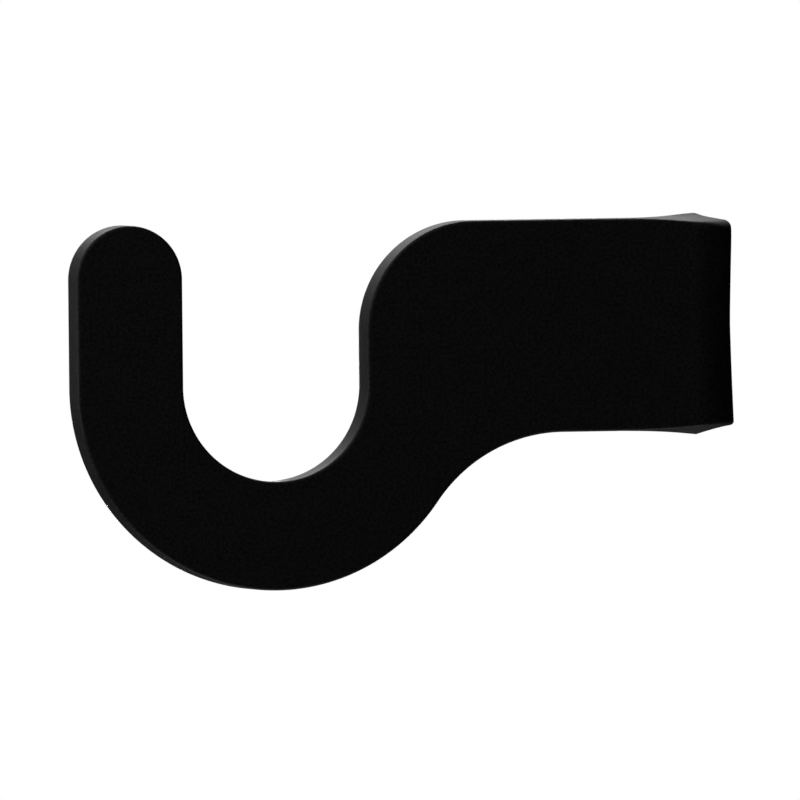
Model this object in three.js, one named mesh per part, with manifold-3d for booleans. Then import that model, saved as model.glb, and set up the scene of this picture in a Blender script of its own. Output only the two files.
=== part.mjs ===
// Headphone hook: one thick steel plate, cut to a J with an upturned arm, bent
// through a right angle at its other end into a mounting flange, and the two
// countersunk screws that hold the flange to a desk frame or panel.
//
// Units are millimetres, +Z is up. The flange's outer face is the mounting face
// and lies in the plane X = 0, facing +X, with the origin midway between the
// two screws. The plate runs from the bend towards -X with its front face
// looking to -Y, and the arm's rounded tip is at the -X end. The drawings below
// count Y from the front face, and the finished group is then moved so that
// the origin falls between the screws.

import * as THREE from 'three';
import * as BufferGeometryUtils from 'three/addons/utils/BufferGeometryUtils.js';
import Module from 'manifold-3d';

// ---- driving dimensions ----

const PLATE_THICKNESS = 6;
const BAND_WIDTH = 16.8; // width of the arm and of the band around the throat
const THROAT_RADIUS = 14.9; // half the gap that the headband hangs in
const ARM_RISE = 16.8; // height of the tip's centre above the throat's centre
const SHOULDER_RADIUS = 17;
const UNDERSIDE_RADIUS = 24.9; // hollow between the hook's bowl and the plate's lower edge
const LENGTH = 106.6; // arm's outer edge to the mounting face
const END_HEIGHT = 33; // height of the plate's straight end and of the flange
const THROAT_DROP = 8.75; // throat's centre below the middle of the flange

const BEND_INNER_RADIUS = 1.5;
const FLANGE_DEPTH = 28; // from the front face to the flange's free edge
const FLANGE_CORNER_RADIUS = 9;

const SCREW_DEPTH = 19; // screw axis behind the front face
const SCREW_SPACING = 18;
const SCREW_DIAMETER = 5;
const SCREW_LENGTH = 8; // over all, countersunk head included
const SCREW_TIP_CHAMFER = 0.5;
const HEAD_DIAMETER = 10;
const HEAD_RIM = 0.4; // straight rim above the head's cone
const HEAD_RECESS = 0.3; // how far the head lies below the flange's inner face
const SOCKET_ACROSS_FLATS = 3;
const SOCKET_DEPTH = 1.8;
const CLEARANCE = 0.3; // all round the screw, in its hole and countersink

const ARC_SEGMENTS = 40; // per outline arc
const ROUND_SEGMENTS = 48; // around a screw

// ---- sizes that follow ----

const BEND_OUTER_RADIUS = BEND_INNER_RADIUS + PLATE_THICKNESS;
const BOWL_RADIUS = THROAT_RADIUS + BAND_WIDTH;
const TIP_RADIUS = BAND_WIDTH / 2;
const TOP = END_HEIGHT / 2;
const BOTTOM = -END_HEIGHT / 2;
const OVERHANG = 0.5; // how far a cutter stands out of the face it cuts
const BEND_OVERLAP = 1; // how far the bend's solid reaches into the flat plate
const MERGE_TOLERANCE = 1e-5;

const wasm = await Module();
wasm.setup();

// ---- solids and booleans ----

function toManifold(geometry) {
  const bare = geometry.index ? geometry.toNonIndexed() : geometry.clone();
  bare.deleteAttribute('normal');
  bare.deleteAttribute('uv');
  const merged = BufferGeometryUtils.mergeVertices(bare, MERGE_TOLERANCE);
  return new wasm.Manifold(new wasm.Mesh({
    numProp: 3,
    vertProperties: new Float32Array(merged.attributes.position.array),
    triVerts: new Uint32Array(merged.index.array),
  }));
}

function toGeometry(manifold) {
  const mesh = manifold.getMesh();
  const geometry = new THREE.BufferGeometry();
  geometry.setAttribute('position', new THREE.BufferAttribute(mesh.vertProperties, 3));
  geometry.setIndex(new THREE.BufferAttribute(mesh.triVerts, 1));
  geometry.computeVertexNormals();
  return geometry;
}

// A plan drawn in X and Y, made into a wall of the given height centred on Z = 0.
function extrudeUp(shape, height) {
  const geometry = new THREE.ExtrudeGeometry(shape, {
    depth: height, bevelEnabled: false, curveSegments: ARC_SEGMENTS,
  });
  geometry.translate(0, 0, -height / 2);
  return geometry;
}

// An outline drawn in X and Z, made into a plate from Y = front to Y = front + depth.
function extrudeBack(shape, front, depth) {
  const geometry = new THREE.ExtrudeGeometry(shape, {
    depth, bevelEnabled: false, curveSegments: ARC_SEGMENTS,
  });
  geometry.rotateX(Math.PI / 2);
  geometry.translate(0, front + depth, 0);
  return geometry;
}

// ---- hook plate ----

// Outline of the flat plate, up to where the bend starts.
function hookOutline() {
  const left = -LENGTH;
  const throatX = left + BOWL_RADIUS;
  const throatZ = -THROAT_DROP;
  const tipZ = throatZ + ARM_RISE;
  const armInner = left + BAND_WIDTH;
  const throatInner = throatX + THROAT_RADIUS;
  const shoulderX = throatInner + SHOULDER_RADIUS;
  const shoulderZ = TOP - SHOULDER_RADIUS;
  const hollowZ = BOTTOM - UNDERSIDE_RADIUS;
  const reach = BOWL_RADIUS + UNDERSIDE_RADIUS; // the bowl and the hollow are tangent
  const hollowX = throatX + Math.sqrt(reach ** 2 - (throatZ - hollowZ) ** 2);
  const tangentAngle = Math.atan2(hollowZ - throatZ, hollowX - throatX);

  const shape = new THREE.Shape();
  shape.moveTo(left, throatZ);
  shape.absarc(throatX, throatZ, BOWL_RADIUS, Math.PI, 2 * Math.PI + tangentAngle, false);
  shape.absarc(hollowX, hollowZ, UNDERSIDE_RADIUS, Math.PI + tangentAngle, Math.PI / 2, true);
  shape.lineTo(-BEND_OUTER_RADIUS, BOTTOM);
  shape.lineTo(-BEND_OUTER_RADIUS, TOP);
  shape.lineTo(shoulderX, TOP);
  shape.absarc(shoulderX, shoulderZ, SHOULDER_RADIUS, Math.PI / 2, Math.PI, false);
  shape.lineTo(throatInner, throatZ);
  shape.absarc(throatX, throatZ, THROAT_RADIUS, 0, -Math.PI, true);
  shape.lineTo(armInner, tipZ);
  shape.absarc(left + TIP_RADIUS, tipZ, TIP_RADIUS, 0, Math.PI, false);
  shape.closePath();
  return shape;
}

// Plan of the bend and the flange, seen from above. It overlaps the flat plate
// by a little, so that the two join into one body.
function bendPlan() {
  const start = -BEND_OUTER_RADIUS - BEND_OVERLAP;
  const shape = new THREE.Shape();
  shape.moveTo(start, 0);
  shape.lineTo(-BEND_OUTER_RADIUS, 0);
  shape.absarc(-BEND_OUTER_RADIUS, BEND_OUTER_RADIUS, BEND_OUTER_RADIUS, -Math.PI / 2, 0, false);
  shape.lineTo(0, FLANGE_DEPTH);
  shape.lineTo(-PLATE_THICKNESS, FLANGE_DEPTH);
  shape.lineTo(-PLATE_THICKNESS, BEND_OUTER_RADIUS);
  shape.absarc(-BEND_OUTER_RADIUS, BEND_OUTER_RADIUS, BEND_INNER_RADIUS, 0, -Math.PI / 2, true);
  shape.lineTo(start, PLATE_THICKNESS);
  shape.closePath();
  return shape;
}

// Side view of the flange, drawn in Y and Z: its two free corners are rounded.
function flangeSideOutline() {
  const corner = FLANGE_CORNER_RADIUS;
  const shape = new THREE.Shape();
  shape.moveTo(-OVERHANG, BOTTOM);
  shape.lineTo(FLANGE_DEPTH - corner, BOTTOM);
  shape.absarc(FLANGE_DEPTH - corner, BOTTOM + corner, corner, -Math.PI / 2, 0, false);
  shape.absarc(FLANGE_DEPTH - corner, TOP - corner, corner, 0, Math.PI / 2, false);
  shape.lineTo(-OVERHANG, TOP);
  shape.closePath();
  return shape;
}

// The same outline as a block across the bend and the flange.
function flangeTrim() {
  const across = BEND_OUTER_RADIUS + BEND_OVERLAP + 2 * OVERHANG;
  const geometry = new THREE.ExtrudeGeometry(flangeSideOutline(), {
    depth: across, bevelEnabled: false, curveSegments: ARC_SEGMENTS,
  });
  // The outline's own X, Y and depth become Y, Z and X.
  geometry.applyMatrix4(new THREE.Matrix4().makeBasis(
    new THREE.Vector3(0, 1, 0), new THREE.Vector3(0, 0, 1), new THREE.Vector3(1, 0, 0),
  ));
  geometry.translate(OVERHANG - across, 0, 0);
  return geometry;
}

// ---- screws ----

// Half-section of a screw lying on its own axis: radius against the distance
// from the flange's inner face, measured towards the mounting face.
function screwProfile() {
  const shank = SCREW_DIAMETER / 2;
  const head = HEAD_DIAMETER / 2;
  const top = HEAD_RECESS;
  const coneEnd = top + HEAD_RIM + head - shank; // 90 degree countersink
  const tip = top + SCREW_LENGTH;
  return [
    new THREE.Vector2(0, top),
    new THREE.Vector2(head, top),
    new THREE.Vector2(head, top + HEAD_RIM),
    new THREE.Vector2(shank, coneEnd),
    new THREE.Vector2(shank, tip - SCREW_TIP_CHAMFER),
    new THREE.Vector2(shank - SCREW_TIP_CHAMFER, tip),
    new THREE.Vector2(0, tip),
  ];
}

// The hole that the screw goes through, with clearance all round it.
function holeProfile() {
  const bore = SCREW_DIAMETER / 2 + CLEARANCE;
  const mouth = HEAD_DIAMETER / 2 + CLEARANCE;
  const rimEnd = HEAD_RECESS + HEAD_RIM + CLEARANCE;
  return [
    new THREE.Vector2(0, -OVERHANG),
    new THREE.Vector2(mouth, -OVERHANG),
    new THREE.Vector2(mouth, rimEnd),
    new THREE.Vector2(bore, rimEnd + mouth - bore),
    new THREE.Vector2(bore, PLATE_THICKNESS + OVERHANG),
    new THREE.Vector2(0, PLATE_THICKNESS + OVERHANG),
  ];
}

// A lathe turns its profile about Y, so the axis is laid along +X afterwards
// and moved to the screw's place, with its zero on the flange's inner face.
function turnedAlongX(profile, height) {
  const geometry = new THREE.LatheGeometry(profile, ROUND_SEGMENTS);
  geometry.rotateZ(-Math.PI / 2);
  geometry.translate(-PLATE_THICKNESS, SCREW_DEPTH, height);
  return geometry;
}

function hexSocket(height) {
  const acrossCorners = SOCKET_ACROSS_FLATS / Math.cos(Math.PI / 6);
  const depth = SOCKET_DEPTH + OVERHANG;
  const geometry = new THREE.CylinderGeometry(acrossCorners / 2, acrossCorners / 2, depth, 6);
  geometry.rotateZ(-Math.PI / 2);
  const middle = HEAD_RECESS + SOCKET_DEPTH - depth / 2;
  geometry.translate(middle - PLATE_THICKNESS, SCREW_DEPTH, height);
  return geometry;
}

function screw(height) {
  return toGeometry(
    toManifold(turnedAlongX(screwProfile(), height)).subtract(toManifold(hexSocket(height))),
  );
}

function hookPlate(screwHeights) {
  const flat = toManifold(extrudeBack(hookOutline(), 0, PLATE_THICKNESS));
  const bend = toManifold(extrudeUp(bendPlan(), END_HEIGHT));
  const trimmed = bend.intersect(toManifold(flangeTrim()));
  let plate = flat.add(trimmed);
  for (const height of screwHeights) {
    plate = plate.subtract(toManifold(turnedAlongX(holeProfile(), height)));
  }
  return toGeometry(plate);
}

// ---- materials ----

const powderCoat = new THREE.MeshStandardMaterial({
  color: 0x0d0d0e, roughness: 0.55, metalness: 0,
});
const blackOxide = new THREE.MeshStandardMaterial({
  color: 0x1b1b1d, roughness: 0.4, metalness: 0.9,
});

// ---- assembly ----

function named(name, geometry, material) {
  const mesh = new THREE.Mesh(geometry, material);
  mesh.name = name;
  return mesh;
}

const screws = [
  { name: 'mounting_screw_upper', height: SCREW_SPACING / 2 },
  { name: 'mounting_screw_lower', height: -SCREW_SPACING / 2 },
];

const hook = new THREE.Group();
hook.position.y = -SCREW_DEPTH;
hook.add(named('hook_plate', hookPlate(screws.map(({ height }) => height)), powderCoat));
for (const { name, height } of screws) {
  hook.add(named(name, screw(height), blackOxide));
}

export default hook;
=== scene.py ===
import math

import bmesh
import bpy
from mathutils import Matrix, Vector


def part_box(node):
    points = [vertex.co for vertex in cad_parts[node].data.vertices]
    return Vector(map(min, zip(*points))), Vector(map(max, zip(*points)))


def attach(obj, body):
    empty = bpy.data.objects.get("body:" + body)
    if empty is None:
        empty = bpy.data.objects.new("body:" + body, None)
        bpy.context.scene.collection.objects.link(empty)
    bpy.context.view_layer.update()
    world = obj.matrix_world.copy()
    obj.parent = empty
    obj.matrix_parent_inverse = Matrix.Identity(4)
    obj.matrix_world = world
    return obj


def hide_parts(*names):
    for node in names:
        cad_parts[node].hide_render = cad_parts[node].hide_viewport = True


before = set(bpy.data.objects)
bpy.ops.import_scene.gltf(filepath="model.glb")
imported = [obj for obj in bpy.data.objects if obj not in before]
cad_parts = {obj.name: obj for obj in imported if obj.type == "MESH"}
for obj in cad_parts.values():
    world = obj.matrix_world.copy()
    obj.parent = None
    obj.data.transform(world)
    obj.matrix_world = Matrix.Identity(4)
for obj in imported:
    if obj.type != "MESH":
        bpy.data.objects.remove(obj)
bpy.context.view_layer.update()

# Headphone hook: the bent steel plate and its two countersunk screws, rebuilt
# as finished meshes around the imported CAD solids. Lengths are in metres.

MM = 0.001
plate_low, plate_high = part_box("hook_plate")

# ---- plate sizes: overall ones from the frame, the rest as in the part ----

THICKNESS = 6 * MM
BAND_WIDTH = 16.8 * MM
THROAT_RADIUS = 14.9 * MM
ARM_RISE = 16.8 * MM
SHOULDER_RADIUS = 17 * MM
UNDERSIDE_RADIUS = 24.9 * MM
BEND_INNER_RADIUS = 1.5 * MM
FLANGE_CORNER_RADIUS = 9 * MM

LEFT = plate_low.x
FRONT = plate_low.y
MOUNTING_PLANE = plate_high.x
FLANGE_DEPTH = plate_high.y - plate_low.y
TOP = plate_high.z
BOTTOM = -TOP  # the straight end of the plate is centred on Z = 0
BOWL_RADIUS = THROAT_RADIUS + BAND_WIDTH
THROAT_Z = plate_low.z + BOWL_RADIUS
BEND_OUTER_RADIUS = BEND_INNER_RADIUS + THICKNESS

# ---- the finished plate's edges and its swelling at the bend ----

EDGE_RADIUS = 0.5 * MM
EDGE_STEPS = 6
COAT = 0.07 * MM  # the film of powder coat lies outside the plate's bare sizes
CORNER_EXTRA = 0.55 * MM  # the upper edge is rounder still where the plate bends
CORNER_REACH = 3.5 * MM
SUPPORT = 0.08 * MM  # narrow flat strip that keeps the faces' shading flat
ARC_STEP = 0.45 * MM  # longest step along a curve of the outline
ARC_MIN_STEPS = 6
LINE_STEP = 1 * MM  # about the step along a straight edge

BEND_START = MOUNTING_PLANE - BEND_OUTER_RADIUS
NEUTRAL_SHARE = 0.42  # the metal keeps its length this far from the inner face, in thicknesses
BEND_STRETCH = (BEND_INNER_RADIUS + NEUTRAL_SHARE * THICKNESS) * math.pi / 2
BLANK_END = BEND_START + BEND_STRETCH + FLANGE_DEPTH - BEND_OUTER_RADIUS
ZONE_START = BEND_START - 15 * MM  # the plate is finely divided from here...
ZONE_END = BEND_START + BEND_STRETCH + 5.5 * MM  # ...to here, to take the bend
ZONE_COLUMNS = 90
ZONE_ROWS = 36

# At the inner corner each side of the plate is pushed out, and at the outer
# corner it is drawn in. Each entry is the most it moves, then how that fades
# towards the flat plate and towards the flange, both as (reach, power).
SWELL_UPPER = (0.78 * MM, (4.9 * MM, 1.6), (4.3 * MM, 1.6))
SWELL_LOWER = (0.93 * MM, (6.1 * MM, 1.0), (8.0 * MM, 1.0))
PULL_UPPER = (1.06 * MM, (8.2 * MM, 2.0), (10 * MM, 1.0))
PULL_LOWER = (0.8 * MM, (8.2 * MM, 2.0), (7.9 * MM, 2.0))
SIDE_POWER = 3  # how sharply this grows from the middle of the height to the sides
UPPER_DISH = 0.15  # how curved the upper side is between its two corners

SADDLE = 0.48 * MM  # how far out the corner's ends stand, against its middle
SADDLE_MIDDLE = 0.25  # what the middle itself stands out, as a share of that
SADDLE_POWER = 1.2  # how that grows from the middle of the height to the ends
SADDLE_SHIFT = 1.5 * MM  # the saddle is centred this far past the middle of the bend
SADDLE_REACH = 6 * MM
SADDLE_REACH_FLANGE = 4.2 * MM
SADDLE_FADE_POWER = 4

ROLL = 0.27 * MM  # how far the outer corner's upper end rolls back
ROLL_HEIGHT = 1.0 * MM  # it fades over this height below the upper edge
ROLL_SHIFT = 2.5 * MM  # it is centred this far past the middle of the bend
ROLL_REACH = 4.4 * MM

# ---- holes and screws ----

screw_low, screw_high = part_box("mounting_screw_upper")
SCREW_NODES = ("mounting_screw_upper", "mounting_screw_lower")
SCREW_SPACING = screw_high.z + screw_low.z  # the screws lie evenly about Z = 0
SCREW_RADIUS = 2.5 * MM
HEAD_RADIUS = (screw_high.z - screw_low.z) / 2
CLEARANCE = 0.3 * MM
HEAD_RIM = 0.4 * MM  # straight rim above the head's cone
CONE_END = HEAD_RIM + HEAD_RADIUS - SCREW_RADIUS
HEAD_RECESS = screw_low.x - (MOUNTING_PLANE - THICKNESS)
SCREW_LENGTH = screw_high.x - screw_low.x
HOLE_EDGE_RADIUS = 0.2 * MM

SOCKET_ACROSS_FLATS = 3 * MM
SOCKET_CORNER_RADIUS = SOCKET_ACROSS_FLATS / math.sqrt(3)
SOCKET_DEPTH = 1.8 * MM
DRILL_POINT_RADIUS = 0.3 * MM  # the hollow that a drill leaves in the socket's floor
DRILL_POINT_DEPTH = 0.35 * MM
SOCKET_FLOOR_SHARE = 0.94  # the floor's size against the socket's
SOCKET_FLOOR_STEP = 0.05 * MM
SOCKET_WALL_TOP = 0.3 * MM  # the walls end at this depth, and the mouth widens above
SOCKET_MOUTH_DEPTH = 0.12 * MM
SOCKET_MOUTH_SHARE = 0.985  # the mouth's least radius, as a share of its corners' radius
SOCKET_LIP = 0.08 * MM  # narrow flat rings round the mouth

HEAD_SOFTNESS = 0.12 * MM  # rounding of the head's outer edge
HEAD_SOFT_STEPS = 4
RIM_BEVEL = 0.03 * MM  # a narrow bevel where the head's rim meets its cone
CONE_BEVEL = 0.02 * MM
SHANK_STEP = 0.1 * MM  # from the end of the cone to the nearest ring on either side

THREAD_PITCH = 0.8 * MM
THREAD_DEPTH = 0.42 * MM
THREAD_FLANK = 1.6  # how steeply the ridge rises
THREAD_ROOT = 0.3  # how much of the ridge's foot is cut off by the flat between two ridges
THREAD_STEPS = 16  # rings for each turn
THREAD_END = 0.05 * MM  # the thread stops at least this short of the tip
TIP_TAPER = 0.55 * MM  # the thread tapers over this length
TIP_RADIUS = SCREW_RADIUS - 0.6 * MM
TIP_LIP = 0.1 * MM
TIP_CENTRE_RADIUS = 0.4 * MM

AROUND = 96  # vertices around a hole or a screw
ANGLES = [2 * math.pi * k / AROUND for k in range(AROUND)]

PLATE_SHARP_ANGLE = math.radians(35)  # edges sharper than this are shaded as sharp
SCREW_SHARP_ANGLE = math.radians(40)


# ---- outline of the flat blank ----

def arc(centre, radius, start, end):
    """Points on an arc in the blank's plane, both ends included; angles in radians."""
    count = max(ARC_MIN_STEPS, math.ceil(abs(end - start) * radius / ARC_STEP))
    turn = (end - start) / count
    return [
        Vector((centre[0] + radius * math.cos(start + turn * k),
                centre[1] + radius * math.sin(start + turn * k)))
        for k in range(count + 1)
    ]


def line(a, b):
    """Points along a straight edge, both ends left out."""
    a, b = Vector(a), Vector(b)
    count = max(1, round((b - a).length / LINE_STEP))
    return [a.lerp(b, k / count) for k in range(1, count)]


def zone_columns():
    """The places along the blank where the finely divided zone has its columns."""
    span = ZONE_END - ZONE_START
    return [ZONE_START + span * k / ZONE_COLUMNS for k in range(ZONE_COLUMNS + 1)]


def flange_end():
    """The blank's end past the zone, from its lower edge round to its upper edge."""
    corner = FLANGE_CORNER_RADIUS
    x = BLANK_END - corner
    lower = arc((x, BOTTOM + corner), corner, -math.pi / 2, 0)
    upper = arc((x, TOP - corner), corner, 0, math.pi / 2)
    return lower + line(lower[-1], upper[0]) + upper


def hook_part():
    """The rest of the blank, from the upper edge round the hook to the lower edge."""
    throat_x = LEFT + BOWL_RADIUS
    throat_right = throat_x + THROAT_RADIUS
    tip = (LEFT + BAND_WIDTH / 2, THROAT_Z + ARM_RISE)
    shoulder = (throat_right + SHOULDER_RADIUS, TOP - SHOULDER_RADIUS)
    hollow_z = BOTTOM - UNDERSIDE_RADIUS
    reach = BOWL_RADIUS + UNDERSIDE_RADIUS
    hollow_x = throat_x + math.sqrt(reach ** 2 - (THROAT_Z - hollow_z) ** 2)
    tangent = math.atan2(hollow_z - THROAT_Z, hollow_x - throat_x)

    stretches = [
        arc(shoulder, SHOULDER_RADIUS, math.pi / 2, math.pi),
        arc((throat_x, THROAT_Z), THROAT_RADIUS, 0, -math.pi),
        arc(tip, BAND_WIDTH / 2, 0, math.pi),
        arc((throat_x, THROAT_Z), BOWL_RADIUS, math.pi, 2 * math.pi + tangent),
        arc((hollow_x, hollow_z), UNDERSIDE_RADIUS, math.pi + tangent, math.pi / 2),
    ]
    points = line((ZONE_START, TOP), stretches[0][0])
    for number, stretch in enumerate(stretches):
        if number and (stretch[0] - points[-1]).length < ARC_STEP / 10:
            stretch = stretch[1:]
        elif number:
            points += line(points[-1], stretch[0])
        points += stretch
    return points + line(points[-1], (ZONE_START, BOTTOM))


def outward_normals(points):
    """Unit normals of a closed outline whose inside is on its left."""
    normals = []
    for k, point in enumerate(points):
        before = (point - points[k - 1]).normalized()
        after = (points[(k + 1) % len(points)] - point).normalized()
        along = (before + after).normalized()
        normals.append(Vector((along.y, -along.x)))
    return normals


# ---- bending the blank ----

def faded(away, most, plate_side, flange_side):
    """An amount that fades with distance from the middle of the bend."""
    reach, power = flange_side if away > 0 else plate_side
    return most * math.exp(-((abs(away) / reach) ** power))


def swelling(away, inner, upper):
    """How far the plate's side edge moves out, by distance from the middle of the bend.

    inner runs from 0 on the outer face to 1 on the inner face, and away is positive
    towards the flange.
    """
    if upper:
        across = 2 * inner - 1
        inner += UPPER_DISH * (across ** 3 - across)
    pushed = faded(away, *(SWELL_UPPER if upper else SWELL_LOWER))
    pulled = faded(away, *(PULL_UPPER if upper else PULL_LOWER))
    return pushed * inner - pulled * (1 - inner)


def bent(x, depth, z):
    """Where a point of the flat blank goes; depth counts from the front face."""
    radius = BEND_OUTER_RADIUS - depth
    past = x - BEND_START
    turn = min(max(past / BEND_STRETCH, 0), 1) * math.pi / 2
    if past < 0:
        away = past - radius * math.pi / 4
    elif past > BEND_STRETCH:
        away = past - BEND_STRETCH + radius * math.pi / 4
    else:
        away = radius * (turn - math.pi / 4)

    share = min(abs(z) / TOP, 1)
    rolled = ROLL * math.exp(-max(TOP - z, 0) / ROLL_HEIGHT) * (1 - depth / THICKNESS)
    rolled *= math.exp(-((away - ROLL_SHIFT) / ROLL_REACH) ** 2)
    z += math.copysign(share ** SIDE_POWER, z) * swelling(away, depth / THICKNESS, z > 0)
    away -= SADDLE_SHIFT
    reach = SADDLE_REACH_FLANGE if away > 0 else SADDLE_REACH
    out = SADDLE * (share ** SADDLE_POWER + SADDLE_MIDDLE)
    out = out * math.exp(-((away / reach) ** SADDLE_FADE_POWER)) - rolled

    side, front = math.sin(turn), math.cos(turn)
    straight_x = min(past, 0)
    straight_y = max(past - BEND_STRETCH, 0)
    return Vector((
        BEND_START + straight_x + (radius + out) * side,
        FRONT + BEND_OUTER_RADIUS - (radius + out) * front + straight_y,
        z,
    ))


# ---- plate mesh ----

def rounded(radius):
    """(inset, depth) pairs from just inside a face's edge round to the side."""
    steps = (math.pi / 2 * k / EDGE_STEPS for k in range(EDGE_STEPS + 1))
    quarter = [(radius * (1 - math.sin(a)), radius * (1 - math.cos(a))) for a in steps]
    return [(radius + SUPPORT, 0)] + quarter


def edge_profile(outer_radius, inner_radius):
    """(inset, depth) pairs round the plate's edge, from the front face to the back face."""
    front = [(inset - COAT, depth - COAT) for inset, depth in rounded(outer_radius)]
    middle = [(-COAT, THICKNESS * share) for share in (0.25, 0.5, 0.75)]
    back = [
        (inset - COAT, THICKNESS + COAT - depth)
        for inset, depth in reversed(rounded(inner_radius))
    ]
    return front + middle + back


def outer_edge_radius(point):
    """The front edge's rounding at a point of the outline."""
    if point.y < TOP / 2:
        return EDGE_RADIUS
    away = (point.x - BEND_START - BEND_STRETCH / 2) / CORNER_REACH
    return EDGE_RADIUS + CORNER_EXTRA * math.exp(-away * away)


def join_rings(bm, one, other, closed=True):
    """Quads between two rings of vertices of the same length."""
    count = len(one)
    for k in range(count if closed else count - 1):
        after = (k + 1) % count
        bm.faces.new((one[k], one[after], other[after], other[k]))


def fill(bm, loops):
    """Triangles over the flat region bounded by these loops of vertices."""
    edges = []
    for loop in loops:
        for k, vertex in enumerate(loop):
            pair = (vertex, loop[(k + 1) % len(loop)])
            edges.append(bm.edges.get(pair) or bm.edges.new(pair))
    bmesh.ops.triangle_fill(bm, use_beauty=True, use_dissolve=False, edges=edges)


def hole_profile():
    """(radius, depth) pairs down a screw hole, from the mounting face to the countersink."""
    bore = SCREW_RADIUS + CLEARANCE - COAT
    mouth = HEAD_RADIUS + CLEARANCE - COAT
    rim_depth = THICKNESS - (HEAD_RECESS + HEAD_RIM + CLEARANCE)
    edge = rounded(HOLE_EDGE_RADIUS)
    front = [(bore + r, d - COAT) for r, d in edge]
    cone = [(bore, rim_depth - (mouth - bore)), (mouth, rim_depth)]
    back = [(mouth + r, THICKNESS + COAT - d) for r, d in reversed(edge)]
    return front + cone + back


def add_hole(bm, x, z):
    """Rings of vertices down a screw hole; returns the first and last ring."""
    rings = []
    for radius, depth in hole_profile():
        rings.append([
            bm.verts.new((x + radius * math.cos(a), depth, z + radius * math.sin(a)))
            for a in ANGLES
        ])
    for one, other in zip(rings, rings[1:]):
        join_rings(bm, one, other)
    return rings[0], rings[-1]


def zone_grid(bm, low, high):
    """Rows of vertices between the zone's lower and upper edge; returns them by column.

    The rows are closer together near both edges.
    """
    columns = []
    for bottom, top in zip(low, high):
        between = [
            bm.verts.new(bottom.co.lerp(top.co, (1 - math.cos(math.pi * row / ZONE_ROWS)) / 2))
            for row in range(1, ZONE_ROWS)
        ]
        columns.append([bottom] + between + [top])
    for one, other in zip(columns, columns[1:]):
        join_rings(bm, one, other, closed=False)
    return columns


def build_plate():
    """The plate, made flat with its holes and then bent."""
    bm = bmesh.new()
    columns = zone_columns()
    lower = [Vector((x, BOTTOM)) for x in columns]
    end = flange_end()
    end = line(lower[-1], end[0]) + end + line(end[-1], (ZONE_END, TOP))
    upper = [Vector((x, TOP)) for x in reversed(columns)]
    outline = lower + end + upper + hook_part()
    normals = outward_normals(outline)

    profiles = [edge_profile(outer_edge_radius(point), EDGE_RADIUS) for point in outline]
    rings = []
    for level in zip(*profiles):
        rings.append([
            bm.verts.new((p.x - n.x * inset, depth, p.y - n.y * inset))
            for p, n, (inset, depth) in zip(outline, normals, level)
        ])
    for one, other in zip(rings, rings[1:]):
        join_rings(bm, one, other)

    hole_x = BEND_START + BEND_STRETCH - FRONT - BEND_OUTER_RADIUS
    holes = [add_hole(bm, hole_x, side * SCREW_SPACING / 2) for side in (1, -1)]

    count, wide = len(columns), len(lower) + len(end)
    for face, ring in enumerate((rings[0], rings[-1])):
        low, high = ring[:count], ring[wide:wide + count][::-1]
        grid = zone_grid(bm, low, high)
        fill(bm, [ring[wide + count - 1:] + grid[0][:-1]])
        flange = grid[-1] + ring[count:wide][::-1]
        fill(bm, [flange] + [hole[face] for hole in holes])

    bmesh.ops.recalc_face_normals(bm, faces=bm.faces)
    for vertex in bm.verts:
        vertex.co = bent(vertex.co.x, vertex.co.y, vertex.co.z)
    return bm


# ---- screw mesh ----

def hexagon_radius(angle):
    """Distance from the socket's axis to its wall."""
    sixth = math.pi / 3
    return SOCKET_ACROSS_FLATS / 2 / math.cos((angle + sixth / 2) % sixth - sixth / 2)


def thread_radius(along, angle):
    """Radius of the threaded shank: a ridge that winds round the axis."""
    phase = (along / THREAD_PITCH - angle / (2 * math.pi)) % 1
    ridge = min(1, max(0, THREAD_FLANK * (1 - abs(2 * phase - 1)) - THREAD_ROOT))
    return SCREW_RADIUS - THREAD_DEPTH * (1 - ridge)


def circle(radius):
    return [radius] * AROUND


def hexagon(share):
    return [share * hexagon_radius(a) for a in ANGLES]


def head_rings():
    """The screw's socket, head and cone, as (radii, place along the axis) pairs."""
    mouth = SOCKET_CORNER_RADIUS * SOCKET_MOUTH_SHARE
    rings = [
        (circle(DRILL_POINT_RADIUS), SOCKET_DEPTH + DRILL_POINT_DEPTH),
        (hexagon(SOCKET_FLOOR_SHARE), SOCKET_DEPTH),
        (hexagon(1), SOCKET_DEPTH - SOCKET_FLOOR_STEP),
        (hexagon(1), SOCKET_WALL_TOP),
        ([max(radius, mouth) for radius in hexagon(1)], SOCKET_MOUTH_DEPTH),
        (circle(SOCKET_CORNER_RADIUS + SOCKET_LIP), 0.0),
        (circle(SOCKET_CORNER_RADIUS + 2 * SOCKET_LIP), 0.0),
        (circle(HEAD_RADIUS - HEAD_SOFTNESS - SUPPORT), 0.0),
    ]
    for k in range(HEAD_SOFT_STEPS + 1):
        a = math.pi / 2 * k / HEAD_SOFT_STEPS
        radius = HEAD_RADIUS - HEAD_SOFTNESS * (1 - math.sin(a))
        rings.append((circle(radius), HEAD_SOFTNESS * (1 - math.cos(a))))
    return rings + [
        (circle(HEAD_RADIUS), HEAD_RIM - RIM_BEVEL),
        (circle(HEAD_RADIUS - RIM_BEVEL), HEAD_RIM + CONE_BEVEL),
        (circle(SCREW_RADIUS + SHANK_STEP), CONE_END - SHANK_STEP),
    ]


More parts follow.
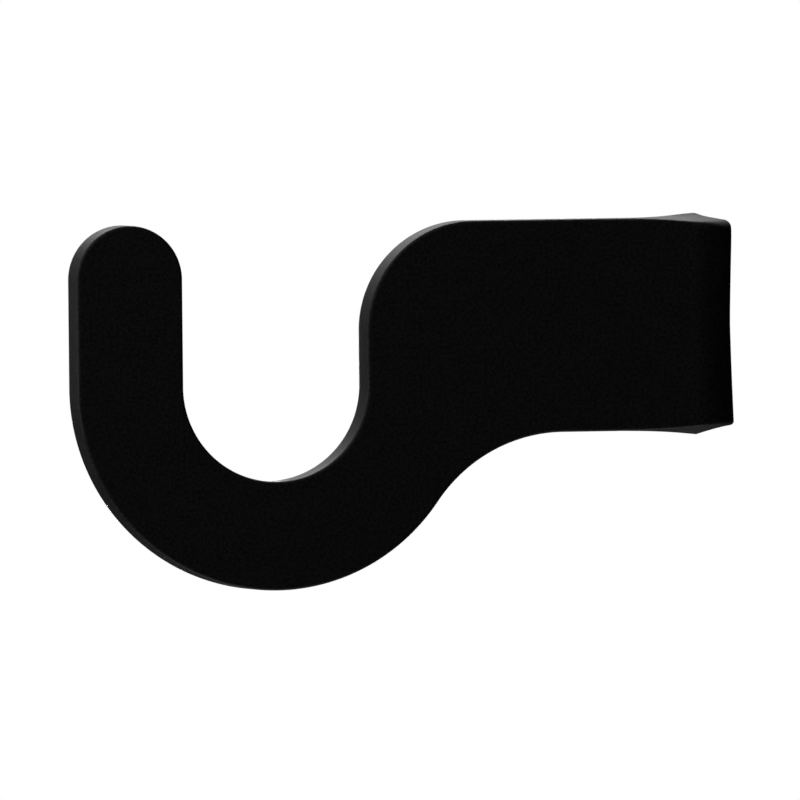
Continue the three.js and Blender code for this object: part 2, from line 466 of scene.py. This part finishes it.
def shank_rings():
    """The threaded shank and its tip, as (radii, place along the axis) pairs."""
    rings = []
    step = THREAD_PITCH / THREAD_STEPS
    start = CONE_END + SHANK_STEP
    count = math.floor((SCREW_LENGTH - THREAD_END - start) / step)
    for k in range(count + 1):
        along = start + step * k
        widest = SCREW_RADIUS - max(0, along - (SCREW_LENGTH - TIP_TAPER))
        fade = min(1, (along - start) / THREAD_PITCH)
        rings.append(([
            min(SCREW_RADIUS - (SCREW_RADIUS - thread_radius(along, a)) * fade, widest)
            for a in ANGLES
        ], along))
    for radius in (TIP_RADIUS, TIP_RADIUS - TIP_LIP, TIP_CENTRE_RADIUS):
        rings.append((circle(radius), SCREW_LENGTH))
    return rings


def build_screw(head_x, y, z):
    """A screw whose axis starts at the middle of its head's flat top and runs along X."""
    bm = bmesh.new()
    rings = []
    for radii, along in head_rings() + shank_rings():
        rings.append([
            bm.verts.new((head_x + along, y + r * math.cos(a), z + r * math.sin(a)))
            for r, a in zip(radii, ANGLES)
        ])
    for one, other in zip(rings, rings[1:]):
        join_rings(bm, one, other)
    bm.faces.new(rings[0])
    bm.faces.new(rings[-1])
    bmesh.ops.recalc_face_normals(bm, faces=bm.faces)
    return bm


# ---- pieces ----

def piece(name, bm, material, node, sharp_angle):
    """A finished piece on the one body, standing for a CAD node."""
    for face in bm.faces:
        face.smooth = True
    for edge in bm.edges:
        if len(edge.link_faces) == 2 and edge.calc_face_angle() > sharp_angle:
            edge.smooth = False
    mesh = bpy.data.meshes.new(name)
    bm.to_mesh(mesh)
    bm.free()
    mesh.materials.append(material)
    made = bpy.data.objects.new(name, mesh)
    bpy.context.scene.collection.objects.link(made)
    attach(made, "root")
    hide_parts(node)
    return made


# ---- materials ----

def new_material(name):
    """A node material; returns it and its Principled shader."""
    material = bpy.data.materials.new(name)
    material.use_nodes = True
    nodes = material.node_tree.nodes
    shader = next(node for node in nodes if node.type == "BSDF_PRINCIPLED")
    return material, shader


def add_node(material, kind, **inputs):
    """A shader node with these input values; an underscore stands for a space."""
    node = material.node_tree.nodes.new(kind)
    for key, value in inputs.items():
        node.inputs[key.replace("_", " ")].default_value = value
    return node


def object_place(material):
    return material.node_tree.nodes.new("ShaderNodeTexCoord").outputs["Object"]


def noise(material, scale, detail, roughness):
    node = add_node(material, "ShaderNodeTexNoise", Scale=scale, Detail=detail, Roughness=roughness)
    material.node_tree.links.new(object_place(material), node.inputs["Vector"])
    return node.outputs["Fac"]


def remapped(material, value, low, high, start=0.3, end=0.7):
    """The value's range from start to end, stretched to run from low to high."""
    node = add_node(material, "ShaderNodeMapRange", From_Min=start, From_Max=end,
                    To_Min=low, To_Max=high)
    material.node_tree.links.new(value, node.inputs["Value"])
    return node.outputs["Result"]


def mixed(material, factor, dark, light):
    """A colour that runs from dark to light with the factor."""
    node = material.node_tree.nodes.new("ShaderNodeMix")
    node.data_type = "RGBA"
    node.inputs["A"].default_value = (*dark, 1)
    node.inputs["B"].default_value = (*light, 1)
    material.node_tree.links.new(factor, node.inputs["Factor"])
    return node.outputs["Result"]


def bumped(material, height, strength, distance, before=None):
    """A normal bumped by the height, on top of the normal from before if there is one."""
    node = add_node(material, "ShaderNodeBump", Strength=strength, Distance=distance)
    links = material.node_tree.links
    links.new(height, node.inputs["Height"])
    if before is not None:
        links.new(before, node.inputs["Normal"])
    return node.outputs["Normal"]


PIT_GATHERING = 0.15  # how strongly the coat's dark pits gather in patches


def powder_coat():
    """Satin black powder coat: fine dark pits over a faint orange peel, with cloudy gloss."""
    material, shader = new_material("powder_coat_black")
    links = material.node_tree.links
    cloud = noise(material, scale=90, detail=3, roughness=0.55)
    grain = noise(material, scale=2100, detail=2, roughness=0.6)
    peel = noise(material, scale=700, detail=1, roughness=0.5)
    patches = noise(material, scale=350, detail=2, roughness=0.5)

    # dark pits where the grain is low, gathered where the patches are low too
    gathered = material.node_tree.nodes.new("ShaderNodeMath")
    gathered.operation = "MULTIPLY_ADD"
    links.new(patches, gathered.inputs[0])
    gathered.inputs[1].default_value = PIT_GATHERING
    links.new(grain, gathered.inputs[2])
    pits = remapped(material, gathered.outputs["Value"], low=0, high=1, start=0.42, end=0.66)
    colour = mixed(material, pits, dark=(0.008, 0.008, 0.0085), light=(0.0285, 0.0285, 0.029))
    links.new(colour, shader.inputs["Base Color"])

    links.new(remapped(material, cloud, low=0.52, high=0.62), shader.inputs["Roughness"])
    shader.inputs["Specular IOR Level"].default_value = 0.25
    normal = bumped(material, peel, strength=0.35, distance=0.03 * MM)
    normal = bumped(material, grain, strength=0.5, distance=0.012 * MM, before=normal)
    links.new(normal, shader.inputs["Normal"])
    return material


def black_oxide():
    """Blackened screw steel: dark metal with a fine grain and worn, oily gloss."""
    material, shader = new_material("screw_black_oxide")
    links = material.node_tree.links
    cloud = noise(material, scale=600, detail=4, roughness=0.6)
    grain = noise(material, scale=4200, detail=2, roughness=0.5)
    colour = mixed(material, cloud, dark=(0.03, 0.03, 0.034), light=(0.085, 0.08, 0.078))
    links.new(colour, shader.inputs["Base Color"])
    shader.inputs["Metallic"].default_value = 0.85
    links.new(remapped(material, cloud, low=0.3, high=0.5), shader.inputs["Roughness"])
    normal = bumped(material, grain, strength=0.4, distance=0.006 * MM)
    links.new(normal, shader.inputs["Normal"])
    return material


# ---- studio ----

WHITE = (1, 1, 1, 1)
FLOOR_HALF_SIZE = 12.0
FLOOR_BELOW = 3.0  # the floor lies this far under the hook, which hangs from its mount


def stage_material():
    """Plain white for the floor, which gives light to the camera only."""
    material = bpy.data.materials.new("stage_white")
    material.use_nodes = True
    nodes = material.node_tree.nodes
    nodes.clear()
    glow = nodes.new("ShaderNodeEmission")
    glow.inputs["Color"].default_value = WHITE
    output = nodes.new("ShaderNodeOutputMaterial")
    material.node_tree.links.new(glow.outputs["Emission"], output.inputs["Surface"])
    return material


def add_stage():
    """A plain white floor and world, which the camera sees but the hook doesn't reflect."""
    mesh = bpy.data.meshes.new("floor")
    half, z = FLOOR_HALF_SIZE, plate_low.z - FLOOR_BELOW
    corners = [(-half, -half), (half, -half), (half, half), (-half, half)]
    mesh.from_pydata([(x, y, z) for x, y in corners], [], [(0, 1, 2, 3)])
    mesh.materials.append(stage_material())
    floor = bpy.data.objects.new("floor", mesh)
    bpy.context.scene.collection.objects.link(floor)
    floor.visible_diffuse = False
    floor.visible_glossy = False

    world = bpy.data.worlds.new("studio")
    world.use_nodes = True
    background = world.node_tree.nodes["Background"]
    background.inputs["Color"].default_value = WHITE
    bpy.context.scene.world = world
    world.cycles_visibility.diffuse = False
    world.cycles_visibility.glossy = False


def add_softbox(name, place, size, watts, aim):
    """A rectangular area light that the camera doesn't see."""
    light = bpy.data.lights.new(name, "AREA")
    light.shape = "RECTANGLE"
    light.size, light.size_y = size
    light.energy = watts
    lamp = bpy.data.objects.new(name, light)
    lamp.location = place
    lamp.rotation_mode = "QUATERNION"
    lamp.rotation_quaternion = (Vector(aim) - Vector(place)).to_track_quat("-Z", "Y")
    lamp.visible_camera = False
    bpy.context.scene.collection.objects.link(lamp)


# name, offset from the plate's middle, size, watts
SOFTBOXES = (
    ("key_above_behind", (0.03, 0.45, 0.4), (0.4, 0.3), 1.95),
    ("key_right_behind", (0.3, 0.45, 0.4), (0.3, 0.3), 0.4),
    ("key_left_behind", (-0.2, 0.35, 0.45), (0.4, 0.4), 0.75),
    ("top_left", (-0.35, 0.0, 0.5), (0.4, 0.5), 0.8),
    ("fill_left", (-0.9, 0.27, 0.1), (0.5, 0.5), 2.1),
    ("fill_front", (-0.42, -1.23, 0.55), (0.2, 0.2), 1.45),
    ("bounce_below", (0.0, 0.1, -0.6), (0.5, 0.5), 1.4),
    ("back_right", (0.27, 1.0, 0.0), (0.08, 0.08), 16),
    ("back_near", (0.013, 0.3, -0.03), (0.04, 0.04), 0.6),
)


def add_lights():
    middle = (plate_low + plate_high) / 2
    for name, offset, size, watts in SOFTBOXES:
        add_softbox(name, middle + Vector(offset), size, watts, middle)


# ---- camera ----

CAMERA_AZIMUTH = math.radians(-14.84)
CAMERA_ELEVATION = math.radians(1.25)
CAMERA_ROLL = math.radians(0.577)
CAMERA_LENS = 1500  # millimetres: a very long lens, so the view has almost no perspective
CAMERA_SENSOR = 36
VIEW_WIDTH = 124.83 * MM  # width seen at the hook
CORNER_RIGHT = 53.05 * MM  # from the picture's middle to the bend's outer corner
CORNER_UP = 12.02 * MM
CLIP_NEAR, CLIP_FAR = 0.1, 60


def add_camera():
    """The camera, placed from the bend's outer corner and the width of the view."""
    data = bpy.data.cameras.new("camera")
    data.lens = CAMERA_LENS
    data.sensor_width = CAMERA_SENSOR
    camera = bpy.data.objects.new("camera", data)
    bpy.context.scene.collection.objects.link(camera)

    level = math.cos(CAMERA_ELEVATION)
    towards_camera = Vector((
        math.sin(CAMERA_AZIMUTH) * level, -math.cos(CAMERA_AZIMUTH) * level,
        math.sin(CAMERA_ELEVATION),
    ))
    aim = (-towards_camera).to_track_quat("-Z", "Y")
    turn = aim @ Matrix.Rotation(-CAMERA_ROLL, 3, "Z").to_quaternion()
    right, up = turn @ Vector((1, 0, 0)), turn @ Vector((0, 1, 0))
    corner = Vector((MOUNTING_PLANE, FRONT, 0))
    target = corner - right * CORNER_RIGHT - up * CORNER_UP
    distance = VIEW_WIDTH * CAMERA_LENS / CAMERA_SENSOR
    camera.rotation_mode = "QUATERNION"
    camera.rotation_quaternion = turn
    camera.location = target + towards_camera * distance
    data.clip_start, data.clip_end = CLIP_NEAR, CLIP_FAR
    bpy.context.scene.camera = camera


# ---- putting it together ----

add_camera()
add_stage()
add_lights()
bpy.context.scene.view_settings.view_transform = "Standard"

coat = powder_coat()
plate = piece("hook_plate_finished", build_plate(), coat, "hook_plate", PLATE_SHARP_ANGLE)

screw_finish = black_oxide()
for node in SCREW_NODES:
    low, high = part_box(node)
    middle = (low + high) / 2
    screw = piece(
        node + "_finished", build_screw(low.x, middle.y, middle.z), screw_finish, node,
        SCREW_SHARP_ANGLE,
    )
